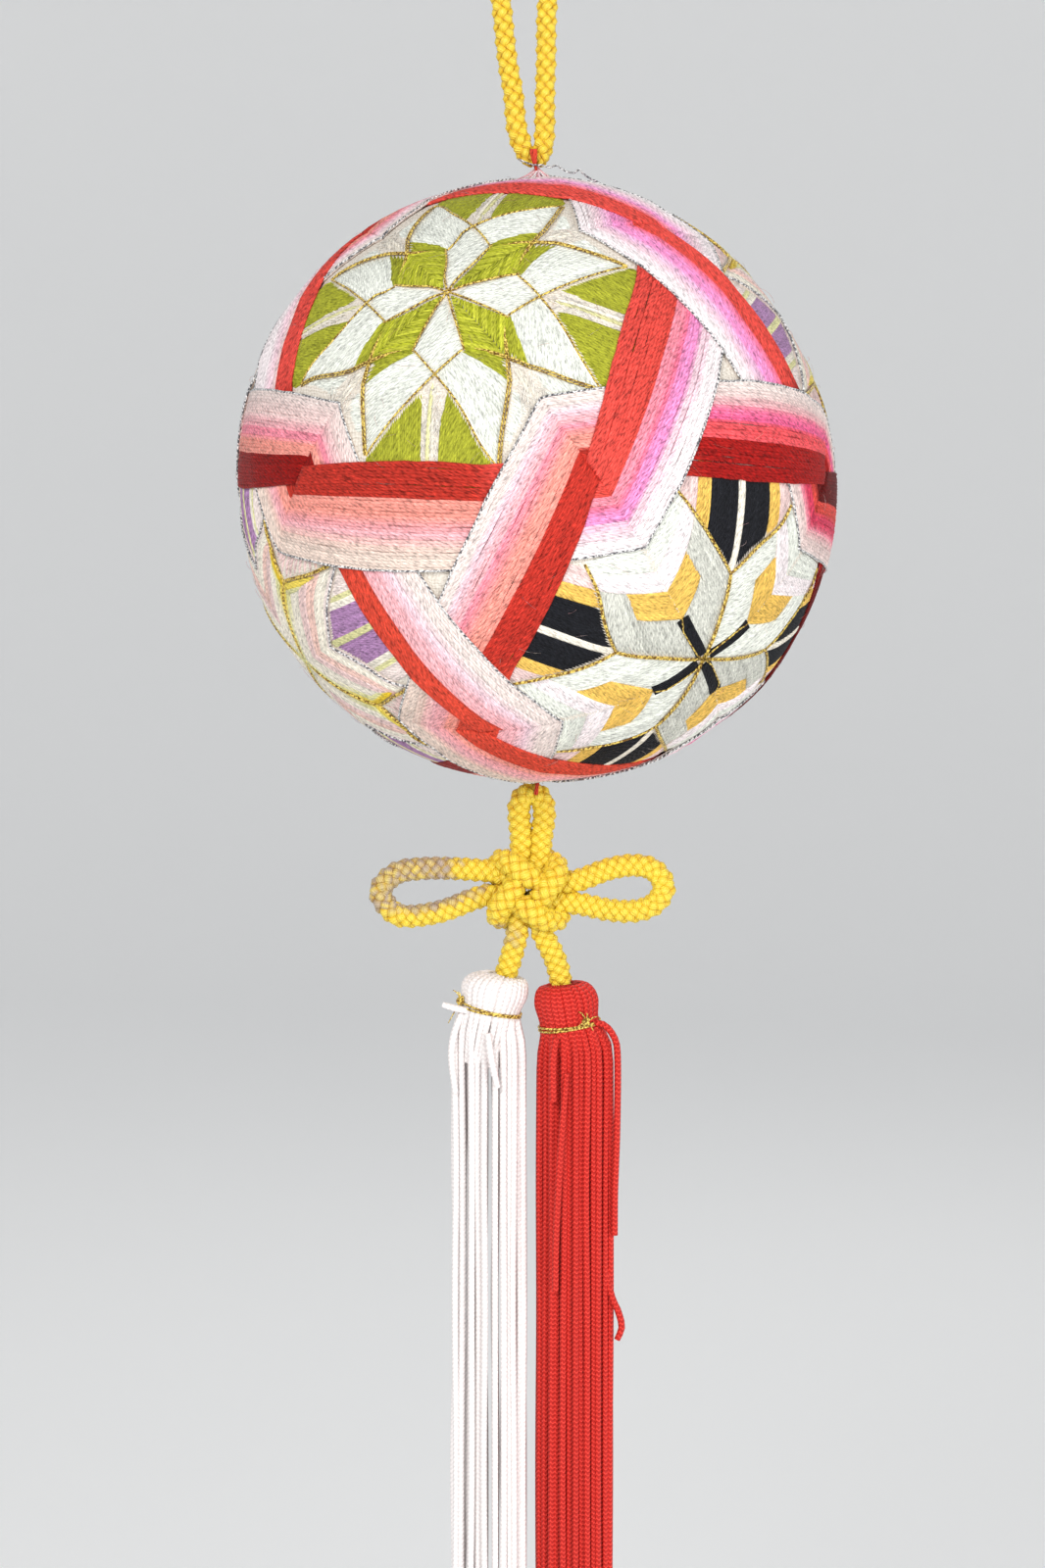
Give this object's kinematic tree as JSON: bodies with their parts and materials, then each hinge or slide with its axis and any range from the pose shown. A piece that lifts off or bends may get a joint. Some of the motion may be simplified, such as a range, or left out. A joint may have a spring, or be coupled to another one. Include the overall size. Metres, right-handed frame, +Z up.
{
  "type": "hanging temari ball with knot and tassels",
  "caption": "Thread-wound temari ball with an interlaced band pattern, hung on a braided loop above a clover knot and a white and a red tassel.",
  "frame": {"origin": "the point inside the top of the hanging loop where a hook carries the ornament", "axes": "+Z up along the hanging line, +Y away from the viewer, +X to the viewer's right"},
  "size_m": [0.15, 0.1506, 0.4879],
  "materials": {
    "ball_threads": "stitched cotton thread in red, pink, cream, green, white, ochre, black and purple",
    "yellow_braid": "braided yellow cord with a soft sheen",
    "white_strand": "fine knitted white strand",
    "red_strand": "fine knitted red strand",
    "gold_thread": "metallic gold thread"
  },
  "bodies": {
    "root": {"ball": "ball_threads", "hanging_loop": "yellow_braid", "knot": "yellow_braid", "white_tassel": "white_strand", "white_tassel_tie": "gold_thread", "red_tassel": "red_strand", "red_tassel_tie": "gold_thread"}
  },
  "joints": []
}
